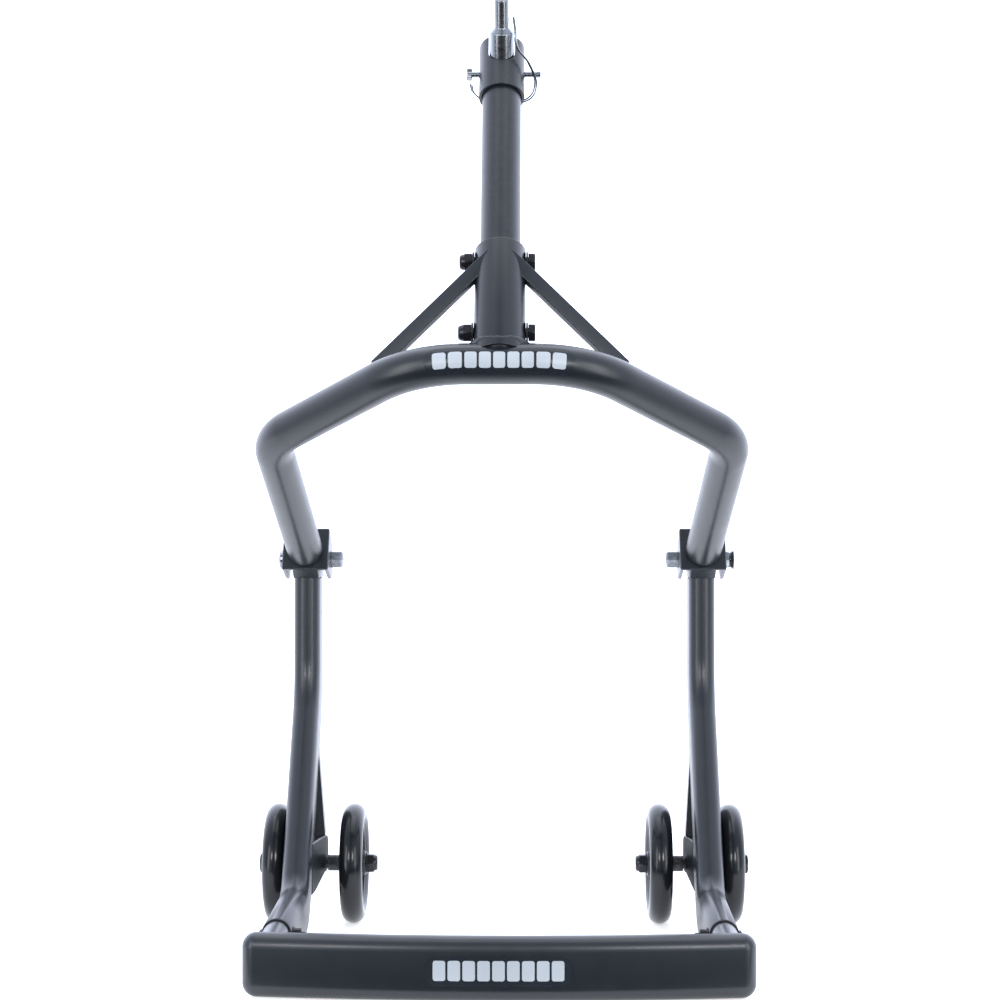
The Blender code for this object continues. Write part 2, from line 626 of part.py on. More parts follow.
def arch_decal(finish, pivot):
    """Plain name plate wrapped on the front of the arch between its shoulders."""
    side = UP_ARCH.cross(ACROSS)
    middle = math.pi - math.radians(9) - math.atan2(side.z, side.y)
    section = []
    for radius, steps in ((ARCH_RADIUS + GAP, range(7)), (ARCH_RADIUS + GAP + 0.5, range(6, -1, -1))):
        for k in steps:
            turn = middle + math.radians(ARCH_DECAL_TURN) * (k / 3 - 1)
            section.append((radius * math.cos(turn), radius * math.sin(turn)))
    path = [point for point in arch_path() if abs(point.x) < ARCH_SHOULDER[0] - 8]
    return add("arch_decal", loft(rings_on(path, [section] * len(path), side)), finish, pivot)


def post_sleeve(finish, pivot):
    """Outer tube of the post, coped onto the middle of the arch."""
    ends = [post_point(0, 0, SLEEVE_BOTTOM), post_point(0, 0, SLEEVE_TOP)]
    mesh = tube(ends, circle(SLEEVE_RADIUS, 32), circle(SLEEVE_BORE, 32), ACROSS)
    piece = add("post_sleeve", mesh, finish, pivot)
    cut(piece, arch_clearance())
    for height in CLAMP_HEIGHTS:
        bore = rod(post_point(-40, 0, height), post_point(40, 0, height), CLAMP_RADIUS + GAP)
        cut(piece, bore)
    return piece


def gusset(name, sign, finish, pivot):
    """Flat bar from the front of the sleeve down to the back of the arch, ended upright on the sleeve."""
    high = post_point(sign * GUSSET_TOP[0], GUSSET_AHEAD, GUSSET_TOP[1])
    low = post_point(sign * GUSSET_FOOT[0], -40, GUSSET_FOOT[1])
    face = (high - low).cross(AHEAD_OF_POST).normalized()
    piece = add(name, bar([high, low], box(GUSSET_WIDTH, GUSSET_THICK), face), finish, pivot)
    sleeve = rod(post_point(0, 0, -60), post_point(0, 0, 200), SLEEVE_RADIUS + GAP, 32)
    cut(piece, sleeve)
    cut(piece, arch_clearance())
    middle = [post_point(0, ahead, height) for ahead, height in ((0, 60), (60, 60), (60, 160), (0, 160))]
    low_x, high_x = sorted((sign * GUSSET_END_X, -sign * 40))
    cut(piece, prism(middle, low_x, high_x))
    return piece


def clamp_bolts(finish):
    """Two cross bolts through sleeve and post, each with two washers and a nut on the left."""
    face = SLEEVE_RADIUS + GAP
    stack = CLAMP_WASHER + GAP
    length = 2 * (face + stack) + CLAMP_NUT - 0.5
    for place, height in zip(("lower", "upper"), CLAMP_HEIGHTS):
        right = post_point(face, 0, height)
        left = post_point(-face, 0, height)
        bore = CLAMP_RADIUS + GAP
        washer(f"{place}_clamp_washer_right", right, ACROSS, CLAMP_WASHER, 9.8, bore, finish)
        washer(f"{place}_clamp_washer_left", left, -ACROSS, CLAMP_WASHER, 9.8, bore, finish)
        bolt(
            f"{place}_clamp_bolt", right + ACROSS * stack, -ACROSS, length,
            CLAMP_RADIUS, CLAMP_HEX, CLAMP_HEAD, finish,
        )
        nut(
            f"{place}_clamp_nut", left - ACROSS * stack, -ACROSS, CLAMP_NUT,
            CLAMP_RADIUS, CLAMP_HEX, finish,
        )


def lift_post(finish, pivot):
    """Inner post, slotted for the clamp bolts; the lower slots run out of its bottom end."""
    ends = [post_point(0, 0, POST_BOTTOM), post_point(0, 0, POST_TOP)]
    mesh = tube(ends, circle(POST_RADIUS, 32), circle(POST_BORE, 32), ACROSS)
    piece = add("lift_post", mesh, finish, pivot)
    reach = CLAMP_RADIUS + GAP
    for height in CLAMP_HEIGHTS:
        low = height - POST_TRAVEL
        outline = arc(lambda a, b: post_point(0, a, height + b), reach, 0.0, math.pi, 8)
        outline += arc(lambda a, b: post_point(0, a, low + b), reach, math.pi, 2 * math.pi, 8)
        cut(piece, prism(outline, -40, 40))
    return piece


def head_socket(finish, pivot):
    """Tube on top of the post, notched in front for the stem pin and bored for the cross pin."""
    ends = [post_point(0, 0, SOCKET_BOTTOM), post_point(0, 0, SOCKET_TOP)]
    mesh = tube(ends, circle(SOCKET_RADIUS, 32), circle(SOCKET_BORE, 32), ACROSS)
    piece = add("head_socket", mesh, finish, pivot)
    bend = NOTCH_HEIGHT + NOTCH_HALF
    outline = arc(lambda a, b: post_point(a, 0, bend + b), NOTCH_HALF, math.pi, 2 * math.pi, 12)
    outline += [post_point(NOTCH_HALF, 0, 400), post_point(-NOTCH_HALF, 0, 400)]
    rings = [[point + AHEAD_OF_POST * ahead for point in outline] for ahead in (5.0, 40.0)]
    cut(piece, loft(rings))
    cross = rod(post_point(-40, 0, PIN_HEIGHT), post_point(40, 0, PIN_HEIGHT), CROSS_RADIUS + GAP, 16)
    cut(piece, cross)
    return piece


def stem_pin(finish, pivot):
    """Stepped pin that goes up into the steering stem, bored across for the cross pin."""
    up = Vector((0.0, -math.sin(PIN_TILT), math.cos(PIN_TILT)))
    profile = [
        (-13.0, PIN_BASE - 3.5, 32), (-10.0, PIN_BASE - 0.8, 32), (-6.0, PIN_BASE, 32),
        (PIN_SHOULDER, PIN_BASE, 32), (PIN_SHOULDER + 1.2, PIN_BASE - 0.8, 32),
        (PIN_SHOULDER + 5.2, PIN_NOSE, 32), (PIN_END - 1.4, PIN_NOSE, 32),
        (PIN_END, PIN_NOSE - 1.2, 32),
    ]
    piece = add("stem_pin", turned(pivot, up, profile), finish, pivot)
    cut(piece, rod(pivot - ACROSS * 30, pivot + ACROSS * 30, CROSS_RADIUS + GAP, 16))
    return piece


def lock_pin(finish, pivot):
    """Cross pin with a small winged head on the left and a knurled tip on the right."""
    tip = CROSS_TIP_X
    profile = [
        (CROSS_HEAD_X, 2.4, 16), (CROSS_HEAD_X + 0.6, 3.0, 16), (tip - 3.5, 3.0, 16),
        (tip - 3.0, 3.4, 16), (tip - 0.5, 3.4, 16), (tip, 2.8, 16),
    ]
    piece = add("lock_pin", turned(pivot, ACROSS, profile), finish, pivot)
    head = [pivot + ACROSS * (CROSS_HEAD_X + along) for along in (0.0, 5.6)]
    join(piece, bar(head, box(11.5, 5.4), UP_POST))
    return piece


def spline(knots, steps):
    """A smooth course through the knots."""
    first, last = knots[0] * 2 - knots[1], knots[-1] * 2 - knots[-2]
    held = [first] + knots + [last]
    course = []
    for before, start, end, after in zip(held, held[1:], held[2:], held[3:]):
        for k in range(steps):
            t = k / steps
            bend = (end - before) * t + (before * 2 - start * 5 + end * 4 - after) * t**2
            bend += (start * 3 - before - end * 3 + after) * t**3
            course.append(start + bend / 2)
    return course + [knots[-1]]


def lock_wire(finish, pivot):
    """Spring wire of the lock pin: a narrow hairpin from the head round the back to the front."""
    behind, beside, front = (-10.0, -28.0, -14.0), (32.6, -4.0, -6.5), (14.4, 28.0, 11.5)
    knots = [(-31.5, -4.6, -7.6), (-28.0, -14.0, -11.5), behind, (24.0, -22.0, -12.5), beside]
    knots += [(25.5, 14.0, 4.0), front, (12.8, 37.5, 24.0), (11.4, 41.5, 37.0)]
    near = spline([pivot + ACROSS * x + AHEAD_OF_POST * a + UP_POST * h for x, a, h in knots], 2)
    far = []
    for k, point in enumerate(near):
        closing = max(0.0, k - (len(near) - 5)) / 4
        wide = WIRE_SPREAD * (1 - 0.6 * closing)
        far.append(point - UP_POST * (wide * 0.8) + ACROSS * wide * 0.75)
    tip = (near[-1] + far[-1]) / 2 + UP_POST * 1.6
    path = near + [tip] + far[::-1]
    return add("lock_wire", bar_turned_least(path, WIRE_RADIUS, 6), finish, pivot)


def bar_turned_least(path, radius, count):
    """A round wire whose section is carried along the path without twist."""
    rings = []
    side = UP_POST
    for k, point in enumerate(path):
        along = (path[min(k + 1, len(path) - 1)] - path[max(k - 1, 0)]).normalized()
        side = (side - along * side.dot(along)).normalized()
        rings.append(placed(circle(radius, count), point, along, side))
    return loft(rings)


def build():
    paint = material("frame_paint", (0.075, 0.085, 0.105), 0.42, 0.35)
    black = material("black_hardware", (0.012, 0.012, 0.013), 0.38, 0.6)
    zinc = material("zinc_steel", (0.62, 0.64, 0.66), 0.3, 1.0)
    rubber = material("tyre_black", (0.012, 0.012, 0.013), 0.45, 0.0)
    plastic = material("core_black", (0.015, 0.015, 0.016), 0.4, 0.0)
    label = material("name_plate", (0.78, 0.78, 0.8), 0.45, 0.0)
    fold = at(0, ARM_Y, FOLD_Z)
    head = post_point(0, 0, PIN_HEIGHT)

    handle_bar(paint)
    handle_decal(label)
    for side, sign in (("left", -1), ("right", 1)):
        side_tube(f"{side}_side_tube", sign, paint)
        collar(f"{side}_socket_collar", sign, black)
        handle_bolt(side, sign, black)
        axle_bracket(f"{side}_axle_bracket", sign, paint)
        brace_strut(f"{side}_brace_strut", sign, paint)
        axle(side, sign, black)
        pivot_block(f"{side}_pivot_block", sign, paint)
        for place, x in zip(("inner", "outer"), SET_X[sign]):
            wheel(f"{side}_{place}_wheel", sign, x, rubber, plastic)
        pivot_bracket(f"{side}_pivot_bracket", sign, paint, fold)
        gusset(f"{side}_gusset", sign, paint, fold)
    pivot_bolts(zinc, fold)
    arch_tube(paint, fold)
    arch_decal(label, fold)
    post_sleeve(paint, fold)
    clamp_bolts(black)
    lift_post(paint, ARCH_CENTRE)
    head_socket(paint, ARCH_CENTRE)
    stem_pin(zinc, head)
    lock_pin(zinc, head)
    lock_wire(zinc, head)


for old in list(bpy.data.objects):
    bpy.data.objects.remove(old, do_unlink=True)
build()
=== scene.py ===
"""Looks of the head-lift paddock stand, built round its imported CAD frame.

Helpers work in millimetres in the CAD frame, measured like the CAD model: X across, Y from the
axle line towards the fold pivots, Z up from the floor. place() turns that into row-frame metres.
"""
import json
import math

import bmesh
import bpy
from mathutils import Matrix, Vector, noise

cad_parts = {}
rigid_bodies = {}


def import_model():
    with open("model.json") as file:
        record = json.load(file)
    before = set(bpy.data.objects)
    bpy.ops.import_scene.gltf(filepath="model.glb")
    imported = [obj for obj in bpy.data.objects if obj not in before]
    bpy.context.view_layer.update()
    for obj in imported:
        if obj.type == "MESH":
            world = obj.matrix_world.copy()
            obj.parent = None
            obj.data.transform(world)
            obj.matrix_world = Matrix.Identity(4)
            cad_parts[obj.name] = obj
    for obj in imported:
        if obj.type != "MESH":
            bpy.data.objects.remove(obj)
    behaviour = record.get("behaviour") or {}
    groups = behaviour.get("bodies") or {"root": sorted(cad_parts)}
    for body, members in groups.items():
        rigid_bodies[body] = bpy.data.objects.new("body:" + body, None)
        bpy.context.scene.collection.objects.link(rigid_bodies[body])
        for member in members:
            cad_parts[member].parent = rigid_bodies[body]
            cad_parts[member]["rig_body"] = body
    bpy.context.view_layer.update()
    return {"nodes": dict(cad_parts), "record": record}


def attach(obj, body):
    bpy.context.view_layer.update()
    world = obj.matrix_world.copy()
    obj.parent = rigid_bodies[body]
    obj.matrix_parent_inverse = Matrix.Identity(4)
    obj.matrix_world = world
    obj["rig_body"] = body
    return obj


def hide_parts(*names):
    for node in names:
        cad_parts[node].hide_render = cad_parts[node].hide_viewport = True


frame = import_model()
NODES = frame["nodes"]
SLOTS = {part["node"]: part["material_slot"] for part in frame["record"]["subparts"]}

# Sizes of the CAD model that the looks follow.
AXLE_Y, AXLE_Z = 143.4, 62.5
PITCH, LEAN, TILT = math.radians(27.6), math.radians(30), math.radians(22)
ARM_X, ARM_Y, ARM_TOP, FOLD_Z = 212.0, 60.0, 361.7, 381.0
TUBE_WIDTH, TUBE_HEIGHT, TUBE_Z = 28.0, 56.0, 28.0
RING_X, RING_Y, RING_LENGTH = 208.5, -276.0, 2.0
HANDLE_Y, HANDLE_BOW, HANDLE_END_X, HANDLE_Z = -361.0, 15.5, 231.0, 29.0
HANDLE_THICK, HANDLE_HEIGHT, HANDLE_ROUNDING = 26.0, 58.0, 13.0
ARCH_RADIUS, ARCH_DROP, ARCH_SHOULDER = 19.0, 6.25, (79.0, 421.0)
POST_RADIUS, SLOT_RADIUS, POST_TRAVEL = 19.0, 5.3, 40.0
CLAMPS, CLAMP_RADIUS = {"lower": 34.0, "upper": 114.0}, 9.0
CROSS_PIN_HEIGHT, HUB_END, AXLE_BOLT_RADIUS = 342.0, 12.8, 11.0
# Drawn smaller than in the CAD model, where the notch is 14.4 to each side and the nut 11.0.
NOTCH_HALF, NOTCH_CENTRE, AXLE_NUT_RADIUS = 12.9, 354.3, 10.6

FOLD = Vector((0, ARM_Y, FOLD_Z))
X = Vector((1, 0, 0))
Z = Vector((0, 0, 1))
UP_ARCH = Vector((0, -math.cos(PITCH), math.sin(PITCH)))
OVER_ARCH = Vector((0, math.sin(PITCH), math.cos(PITCH)))
UP_POST = Vector((0, math.sin(LEAN), math.cos(LEAN)))
AHEAD = Vector((0, -math.cos(LEAN), math.sin(LEAN)))
ARCH_MID = FOLD + UP_ARCH * ARCH_SHOULDER[1] - OVER_ARCH * ARCH_DROP
HEAD = ARCH_MID + UP_POST * CROSS_PIN_HEIGHT
WHEEL_X = {-1: (157.8, 237.6), 1: (163.5, 237.6)}
SIDES = (("left", -1), ("right", 1))


def place(point):
    """Row-frame metres from a point in millimetres."""
    return Vector((point.x, point.y + AXLE_Y, point.z)) * 0.001


def arch_point(x, along):
    """A point of the arch tube's centre plane, along from the fold axis."""
    return FOLD + X * x + UP_ARCH * along - OVER_ARCH * ARCH_DROP


def post_point(x, ahead, height):
    """A point from the post's axis, height above the arch tube's centre."""
    return ARCH_MID + X * x + AHEAD * ahead + UP_POST * height


# ---- materials --------------------------------------------------------------------------------

def nodes_of(name):
    made = bpy.data.materials.new(name)
    made.use_nodes = True
    tree = made.node_tree
    return made, tree, tree.nodes["Principled BSDF"]


def noise_of(tree, scale, detail=3.0, stretch=None):
    where = tree.nodes.new("ShaderNodeTexCoord")
    made = tree.nodes.new("ShaderNodeTexNoise")
    made.inputs["Scale"].default_value = scale
    made.inputs["Detail"].default_value = detail
    source = where.outputs["Object"]
    if stretch:
        mapping = tree.nodes.new("ShaderNodeMapping")
        mapping.inputs["Scale"].default_value = stretch
        tree.links.new(source, mapping.inputs["Vector"])
        source = mapping.outputs["Vector"]
    tree.links.new(source, made.inputs["Vector"])
    return made.outputs["Fac"]


def ramp(tree, source, low_at, low_value, high_at, high_value):
    made = tree.nodes.new("ShaderNodeMapRange")
    made.inputs["From Min"].default_value = low_at
    made.inputs["From Max"].default_value = high_at
    made.inputs["To Min"].default_value = low_value
    made.inputs["To Max"].default_value = high_value
    tree.links.new(source, made.inputs["Value"])
    return made.outputs["Result"]


def mix_colour(tree, factor, one, other):
    made = tree.nodes.new("ShaderNodeMix")
    made.data_type = "RGBA"
    tree.links.new(factor, made.inputs["Factor"])
    sockets = [socket for socket in made.inputs if socket.type == "RGBA"]
    for socket, value in zip(sockets, (one, other)):
        if isinstance(value, tuple):
            socket.default_value = (*value, 1.0)
        else:
            tree.links.new(value, socket)
    return next(socket for socket in made.outputs if socket.type == "RGBA")


def worn(tree, amount):
    """Up to amount along convex edges, broken up by noise."""
    geometry = tree.nodes.new("ShaderNodeNewGeometry")
    edge = ramp(tree, geometry.outputs["Pointiness"], 0.56, 0.0, 0.66, 1.0)
    patchy = ramp(tree, noise_of(tree, 160, 4), 0.45, 0.0, 0.62, amount)
    made = tree.nodes.new("ShaderNodeMath")
    made.operation = "MULTIPLY"
    tree.links.new(edge, made.inputs[0])
    tree.links.new(patchy, made.inputs[1])
    return made.outputs["Value"]


def finish(name, dark, light, roughness, metallic, grain, wear, spec=0.5, stretch=None, coat=0.0):
    """Two-tone finish with grain bump, roughness patches and worn edges."""
    made, tree, shader = nodes_of(name)
    colour = mix_colour(tree, ramp(tree, noise_of(tree, 24, 5), 0.3, 0.0, 0.7, 1.0), dark, light)
    colour = mix_colour(tree, worn(tree, wear[1]), colour, wear[0])
    tree.links.new(colour, shader.inputs["Base Color"])
    rough = ramp(tree, noise_of(tree, 60, 4, stretch), 0.3, roughness[0], 0.7, roughness[1])
    tree.links.new(rough, shader.inputs["Roughness"])
    shader.inputs["Metallic"].default_value = metallic
    shader.inputs["Specular IOR Level"].default_value = spec
    shader.inputs["Coat Weight"].default_value = coat
    shader.inputs["Coat Roughness"].default_value = 0.12
    scale, strength, distance = grain
    made_bump = tree.nodes.new("ShaderNodeBump")
    made_bump.inputs["Strength"].default_value = strength
    made_bump.inputs["Distance"].default_value = distance
    tree.links.new(noise_of(tree, scale, 2, stretch), made_bump.inputs["Height"])
    tree.links.new(made_bump.outputs["Normal"], shader.inputs["Normal"])
    return made


FINISHES = {
    "frame_paint": finish(
        "frame_paint", (0.0105, 0.0140, 0.0190), (0.0125, 0.0160, 0.0210), (0.30, 0.34), 0.0,
        (2200, 0.25, 0.00007), ((0.05, 0.055, 0.06), 0.2), spec=0.62),
    "black_hardware": finish(
        "black_hardware", (0.008, 0.008, 0.010), (0.014, 0.014, 0.017), (0.20, 0.34), 0.2,
        (700, 0.25, 0.00008), ((0.09, 0.09, 0.10), 0.6)),
    "zinc_steel": finish(
        "zinc_steel", (0.25, 0.265, 0.285), (0.36, 0.38, 0.40), (0.20, 0.30), 1.0,
        (500, 0.15, 0.00008), ((0.7, 0.72, 0.76), 0.5), stretch=(1, 1, 4)),
    "tyre_black": finish(
        "tyre_black", (0.004, 0.005, 0.006), (0.006, 0.007, 0.009), (0.16, 0.22), 0.0,
        (240, 0.08, 0.0001), ((0.012, 0.012, 0.014), 0.2), spec=0.4),
    "core_black": finish(
        "core_black", (0.009, 0.010, 0.012), (0.013, 0.014, 0.017), (0.30, 0.42), 0.0,
        (500, 0.25, 0.0001), ((0.05, 0.05, 0.055), 0.5)),
    "black_plastic": finish(
        "black_plastic", (0.003, 0.003, 0.004), (0.005, 0.005, 0.006), (0.5, 0.6), 0.0,
        (500, 0.3, 0.0001), ((0.02, 0.02, 0.02), 0.3)),
    "name_plate": finish(
        "name_plate", (0.50, 0.54, 0.58), (0.54, 0.58, 0.62), (0.3, 0.4), 0.0,
        (900, 0.1, 0.00005), ((0.6, 0.62, 0.66), 0.2)),
}
PLATE_DARK = finish(
    "name_plate_surround", (0.014, 0.018, 0.024), (0.018, 0.022, 0.029), (0.24, 0.3), 0.0,
    (900, 0.1, 0.00005), ((0.1, 0.1, 0.12), 0.4))

for node_name, node in NODES.items():
    node.data.materials.clear()
    node.data.materials.append(FINISHES[SLOTS[node_name]])
    node.data.shade_smooth()
    node.data.set_sharp_from_angle(angle=math.radians(50))
    weighted = node.modifiers.new("Weighted", "WEIGHTED_NORMAL")
    weighted.keep_sharp = True

# ---- mesh helpers -----------------------------------------------------------------------------

def circle(radius, count=64):
    turns = [2 * math.pi * k / count for k in range(count)]
    return [(radius * math.cos(turn), radius * math.sin(turn)) for turn in turns]


def stadium(width, height, steps=16):
    """Section of a flat-oval tube: two half circles joined by flats."""
    radius, flat = width / 2, (height - width) / 2
    turns = [math.pi * k / steps for k in range(steps + 1)]
    upper = [(radius * math.cos(a), flat + radius * math.sin(a)) for a in turns]
    return upper + [(-a, -b) for a, b in upper]


def rounded_path(corners, radii, steps):
    """The polyline through the corners with each inner corner replaced by an arc."""
    points = [corners[0]]
    for before, corner, after, radius in zip(corners, corners[1:], corners[2:], radii):
        back = (before - corner).normalized()
        ahead = (after - corner).normalized()
        half = back.angle(ahead) / 2
        centre = corner + (back + ahead).normalized() * (radius / math.sin(half))
        start = corner + back * (radius / math.tan(half)) - centre
        axis = -back.cross(ahead).normalized()
        for k in range(steps + 1):
            turn = Matrix.Rotation((math.pi - 2 * half) * k / steps, 3, axis)
            points.append(centre + turn @ start)
    points.append(corners[-1])
    return points


def directions(path, closed=False):
    count = len(path)
    for k in range(count):
        before = path[k - 1] if closed or k else path[0]
        after = path[(k + 1) % count] if closed else path[min(k + 1, count - 1)]
        yield (after - before).normalized()


def rings_on(path, sections, side, closed=False):
    """One ring of points for each point of a path, with the section's first axis kept on side."""
    rings = []
    for k, along in enumerate(directions(path, closed)):
        section = sections[k] if isinstance(sections[0], list) else sections
        first = (side - along * side.dot(along)).normalized()
        second = along.cross(first)
        rings.append([path[k] + first * a + second * b for a, b in section])
    return rings


def loft(rings, closed=False):
    mesh = bmesh.new()
    loops = [[mesh.verts.new(point) for point in ring] for ring in rings]
    pairs = list(zip(loops, loops[1:]))
    if closed:
        pairs.append((loops[-1], loops[0]))
    else:
        mesh.faces.new(loops[0])
        mesh.faces.new(loops[-1])
    for one, other in pairs:
        for k in range(len(one)):
            after = (k + 1) % len(one)
            mesh.faces.new((one[k], one[after], other[after], other[k]))
    bmesh.ops.recalc_face_normals(mesh, faces=mesh.faces)
    return mesh


def turned(origin, axis, profile, count=64, closed=False):
    """A turned piece: the profile lists distances along the axis and radii."""
    side = Z if abs(axis.z) < 0.9 else X
    first = (side - axis * side.dot(axis)).normalized()
    second = axis.cross(first)
    rings = []
    for along, radius in profile:
        ring = [origin + axis * along + first * a + second * b for a, b in circle(radius, count)]
        rings.append(ring)
    return loft(rings, closed)


def rounded(profile, size, steps=4):
    """The profile with every corner replaced by a small arc, its ends kept."""
    points = [profile[0]]
    for before, corner, after in zip(profile, profile[1:], profile[2:]):
        here = Vector(corner)
        back, ahead = Vector(before) - here, Vector(after) - here
        reach = min(size, back.length * 0.45, ahead.length * 0.45)
        start, end = here + back.normalized() * reach, here + ahead.normalized() * reach
        for k in range(steps + 1):
            t = k / steps
            points.append(tuple(start * (1 - t) ** 2 + here * 2 * t * (1 - t) + end * t * t))
    return points + [profile[-1]]


def joined(meshes):
    """One bmesh from several."""
    whole = bmesh.new()
    for mesh in meshes:
        held = bpy.data.meshes.new("held")
        mesh.to_mesh(held)
        mesh.free()
        whole.from_mesh(held)
        bpy.data.meshes.remove(held)
    return whole


def add(name, mesh, *replaced, body=None, look=None, sharp=38):
    """Makes the piece from a mesh in millimetres. It rides with the node that it stands for."""
    for vertex in mesh.verts:
        vertex.co = place(vertex.co)
    data = bpy.data.meshes.new(name)
    mesh.to_mesh(data)
    mesh.free()
    data.shade_smooth()
    data.set_sharp_from_angle(angle=math.radians(sharp))
    piece = bpy.data.objects.new(name, data)
    bpy.context.scene.collection.objects.link(piece)
    slot = SLOTS[replaced[0]] if replaced else "frame_paint"
    data.materials.append(look or FINISHES[slot])
    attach(piece, body or NODES[replaced[0]]["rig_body"])
    if replaced:
        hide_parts(*replaced)
    return piece


def cut(piece, mesh):
    """Takes the mesh out of the piece for good."""
    for vertex in mesh.verts:
        vertex.co = place(vertex.co)
    data = bpy.data.meshes.new("cutter")
    mesh.to_mesh(data)
    mesh.free()
    cutter = bpy.data.objects.new("cutter", data)
    bpy.context.scene.collection.objects.link(cutter)
    modifier = piece.modifiers.new("Cut", "BOOLEAN")
    modifier.operation = "DIFFERENCE"
    modifier.solver = "EXACT"
    modifier.object = cutter
    bpy.context.view_layer.update()
    graph = bpy.context.evaluated_depsgraph_get()
    made = bpy.data.meshes.new_from_object(piece.evaluated_get(graph))
    piece.modifiers.clear()
    piece.data = made
    bpy.data.objects.remove(cutter)
    made.shade_smooth()
    made.set_sharp_from_angle(angle=math.radians(38))


def soften(piece, width):
    """Rounds the sharp edges of the piece."""
    bevel = piece.modifiers.new("Soft", "BEVEL")
    bevel.width = width * 0.001
    bevel.segments = 3
    bevel.limit_method = "ANGLE"
    bevel.angle_limit = math.radians(40)
    bevel.harden_normals = False
    weighted = piece.modifiers.new("Weighted", "WEIGHTED_NORMAL")
    weighted.keep_sharp = True


def bead(path, radius, closed=False, ends=0.35):
    """A weld bead with ripples, thinned at its ends unless it is closed."""
    fine = []
    count = len(path)
    for k in range(count if closed else count - 1):
        one, other = path[k], path[(k + 1) % count]
        steps = max(1, round((other - one).length / 0.8))
        fine += [one.lerp(other, j / steps) for j in range(steps)]
    if not closed:
        fine.append(path[-1])
    rings = []
    side = Vector((0.31, 0.52, 0.79)).normalized()
    for k, along in enumerate(directions(fine, closed)):
        side = (side - along * side.dot(along)).normalized()
        second = along.cross(side)
        taper = 1.0 if closed else min(1.0, ends + min(k, len(fine) - 1 - k) * 0.16)
        ring = []
        for a, b in circle(radius, 14):
            swell = 1 + 0.07 * math.sin(k * 1.15) + 0.16 * noise.noise(fine[k] * 0.35)
            ring.append(fine[k] + (side * a + second * b) * swell * taper)
        rings.append(ring)
    return loft(rings, closed)


def hexagon(origin, axis, height, across, count=72):
    """A chamfered hexagon standing on origin, across being its radius to a corner."""
    first = Vector((0, 0, 1)) - axis * axis.z
    first.normalize()
    second = axis.cross(first)
    half = across * math.cos(math.pi / 6)
    rings = []
    levels = ((0.0, 0.99), (0.5, 1.0), (height - 1.3, 1.0), (height - 0.5, 0.95), (height, 0.88))
    for along, most in levels:
        ring = []
        for k in range(count):
            turn = 2 * math.pi * k / count
            folded = (turn + math.pi / 6) % (math.pi / 3) - math.pi / 6
            radius = min(half / math.cos(folded), across * most * 0.985)
            flat = origin + axis * along
            across_flat = first * (radius * math.cos(turn)) + second * (radius * math.sin(turn))
            ring.append(flat + across_flat)
        rings.append(ring)
    return loft(rings)


# ---- floor frame ------------------------------------------------------------------------------

def handle_y(x):
    return HANDLE_Y + HANDLE_BOW * (x / HANDLE_END_X) ** 2


def handle_path(reach, steps=96):
    """Centreline of the bowed bar between -reach and reach."""
    across = [reach * (2 * k / steps - 1) for k in range(steps + 1)]
    return [Vector((x, handle_y(x), HANDLE_Z)) for x in across]


def build_handle():
    """Bar with domed ends, and the two stubs welded on its back."""
    path = handle_path(HANDLE_END_X - HANDLE_ROUNDING)
    widths = [1.0] * len(path)
    start, end = path[0], path[-1]
    for k in range(1, 13):
        share = math.sin(math.pi / 2 * k / 12.4)
        path.insert(0, start + (start - path[-1]).normalized() * HANDLE_ROUNDING * share)
        path.append(end + (end - start).normalized() * HANDLE_ROUNDING * share)
        wide = math.sqrt(1 - share ** 2)
        widths = [wide] + widths + [wide]
    rings = []
    for k, along in enumerate(directions(path)):
        across = Vector((-along.y, along.x, 0)).normalized()
        narrowing = HANDLE_THICK * (1 - widths[k])
        section = stadium(HANDLE_THICK * widths[k], HANDLE_HEIGHT - narrowing)
        rings.append([path[k] + across * a + Z * b for a, b in section])
    meshes = [loft(rings)]
    for sign in (-1, 1):
        ends = [Vector((sign * RING_X, y, TUBE_Z)) for y in (-352, -300, -241, -240)]
        sections = [stadium(24.2, 52.2)] * 3 + [stadium(22.6, 50.6)]
        meshes.append(loft(rings_on(ends, sections, X)))
    add("handle_bar_skin", joined(meshes), "handle_bar")
    for side, sign in SIDES:
        outline = stadium(24.6, 51.8, 12)
        path = []
        for a, b in outline:
            x = sign * RING_X + a
            path.append(Vector((x, handle_y(x) + 12.2, TUBE_Z + b)))
        add(f"{side}_stub_weld", bead(path, 1.6, True), body="frame")


def side_path(sign):
    corners = [
        Vector((sign * RING_X, RING_Y + RING_LENGTH + 0.3, TUBE_Z)),
        Vector((sign * 210.5, -93, TUBE_Z)),
        Vector((sign * ARM_X, 59, 238.5)), Vector((sign * ARM_X, ARM_Y, ARM_TOP)),
    ]
    return rounded_path(corners, (60, 120), 26)


def build_side(side, sign):
    """Side tube with a softened front rim, and a dark ring of the tube's full section between it
    and the stub.
    """
    full, rim = stadium(TUBE_WIDTH, TUBE_HEIGHT), stadium(TUBE_WIDTH - 0.6, TUBE_HEIGHT - 0.6)
    rings = rings_on(side_path(sign), full, X)
    first = rings[0]
    centre = sum(first, Vector()) / len(first)
    lip = [centre + (point - centre) * 0.965 for point in first]
    for k, point in enumerate(first):
        first[k] = point + Vector((0, 1.2, 0))
    add(f"{side}_side_tube_skin", loft([lip] + rings), f"{side}_side_tube")
    # A 2 mm ring of the tube's full section over the tube's front end, round the stub, in the dark
    # finish of the socket_collar node.
    shifts = (0.0, 0.5, RING_LENGTH - 0.5, RING_LENGTH)
    ends = [Vector((sign * RING_X, RING_Y + shift, TUBE_Z)) for shift in shifts]
    dark_end_ring = loft(rings_on(ends, [rim, full, full, rim], X))
    add(f"{side}_dark_end_ring_skin", dark_end_ring, f"{side}_socket_collar")


build_handle()
for side_name, side_sign in SIDES:
    build_side(side_name, side_sign)

# ---- wheels -----------------------------------------------------------------------------------

